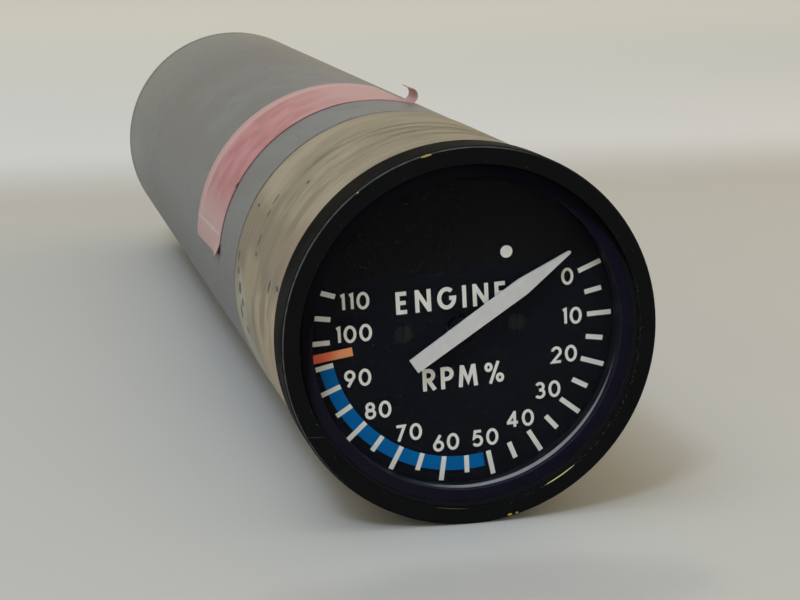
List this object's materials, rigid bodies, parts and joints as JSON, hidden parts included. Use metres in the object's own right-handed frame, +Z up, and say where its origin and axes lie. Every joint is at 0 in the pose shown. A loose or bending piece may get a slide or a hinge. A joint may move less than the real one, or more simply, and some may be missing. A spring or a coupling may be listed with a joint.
{
  "type": "aircraft tachometer",
  "caption": "Round panel tachometer with a percent dial and swinging pointer, servo movement inside, in a long clamp-mounted cylindrical case with a rear connector.",
  "frame": {"origin": "on the case's axis, in the plane of the bezel's rear face, where the clamp seat begins and the face of the panel lies", "axes": "+Y along the case from the dial into the instrument, +Z up on the dial, +X to the right as the dial is read"},
  "size_m": [0.0516, 0.222, 0.0516],
  "materials": {
    "bezel_paint": "satin black paint over a yellow conversion coat, chipped on the edges",
    "seat_metal": "bare conversion-coated aluminium, turned, scratched round the axis",
    "can_paint": "semi-matt grey paint",
    "rubber": "matt black",
    "glass": "clear, polished",
    "mask_anodise": "black anodise gone violet",
    "reflector_metal": "bright satin",
    "ring_paint": "matt black",
    "dial_paint": "matt black with printed figures",
    "black_screw": "blackened steel",
    "pointer_paint": "matt white",
    "hub_paint": "gloss black",
    "plate_metal": "brushed",
    "brass": "turned and cut",
    "steel": "ground",
    "motor_case": "satin",
    "pot_case": "anodised",
    "board": "glass laminate",
    "capacitor": "moulded",
    "transistor": "drawn can",
    "resistor": "lacquered",
    "core": "varnished laminations",
    "coil": "varnished tape over wire",
    "connector_metal": "dull plated",
    "insert": "moulded",
    "contact": "gold plated",
    "tape_red": "faded red tape"
  },
  "bodies": {
    "case": {"back_plate": "plate_metal", "bezel": "bezel_paint", "bulkhead": "plate_metal", "can": "can_paint", "can_gasket": "rubber", "capacitors": "capacitor", "chassis_rails": "plate_metal", "connector_insert": "insert", "connector_nut": "connector_metal", "connector_seal": "rubber", "connector_shell": "connector_metal", "contacts": "contact", "dial": "dial_paint", "dial_ring": "ring_paint", "dial_screws": "black_screw", "end_gasket": "rubber", "end_plate": "can_paint", "end_screws": "steel", "front_bearing": "steel", "front_case": "seat_metal", "front_plate": "plate_metal", "glass": "glass", "glass_seal": "rubber", "locating_pin": "steel", "mask_ring": "mask_anodise", "motor_nut": "brass", "pillars": "brass", "pot_body": "pot_case", "pot_nut": "brass", "rear_bearing": "steel", "reflector_ring": "reflector_metal", "resistors": "resistor", "servo_board": "board", "servo_motor": "motor_case", "stop_posts": "steel", "supply_board": "board", "tape": "tape_red", "transformer_coil": "coil", "transformer_core": "core", "transistors": "transistor"},
    "pointer_train": {"pointer": "pointer_paint", "pointer_hub": "hub_paint", "spindle": "steel", "spindle_gear": "brass", "spindle_collar": "steel", "stop_pin": "steel"},
    "pot_train": {"pot_gear": "brass", "pot_shaft": "steel"},
    "motor_train": {"motor_pinion": "brass", "motor_shaft": "steel"}
  },
  "joints": [
    {"name": "pointer_swing", "type": "hinge", "parent": "case", "child": "pointer_train", "pos_m": [0, 0.0088, 0], "axis": [0, 1, 0], "range_deg": [0, 235]},
    {"name": "pot_turn", "type": "hinge", "parent": "case", "child": "pot_train", "pos_m": [-0.0136, 0.0088, 0], "axis": [0, 1, 0], "range_deg": [-340, 0]},
    {"name": "motor_turn", "type": "hinge", "parent": "case", "child": "motor_train", "pos_m": [0.011, 0.0088, 0], "axis": [0, 1, 0], "range_deg": [-630, 0]}
  ],
  "couplings": [
    {"joint": "pot_turn", "follows": "pointer_swing", "ratio": -1.4286},
    {"joint": "motor_turn", "follows": "pointer_swing", "ratio": -2.6667}
  ]
}
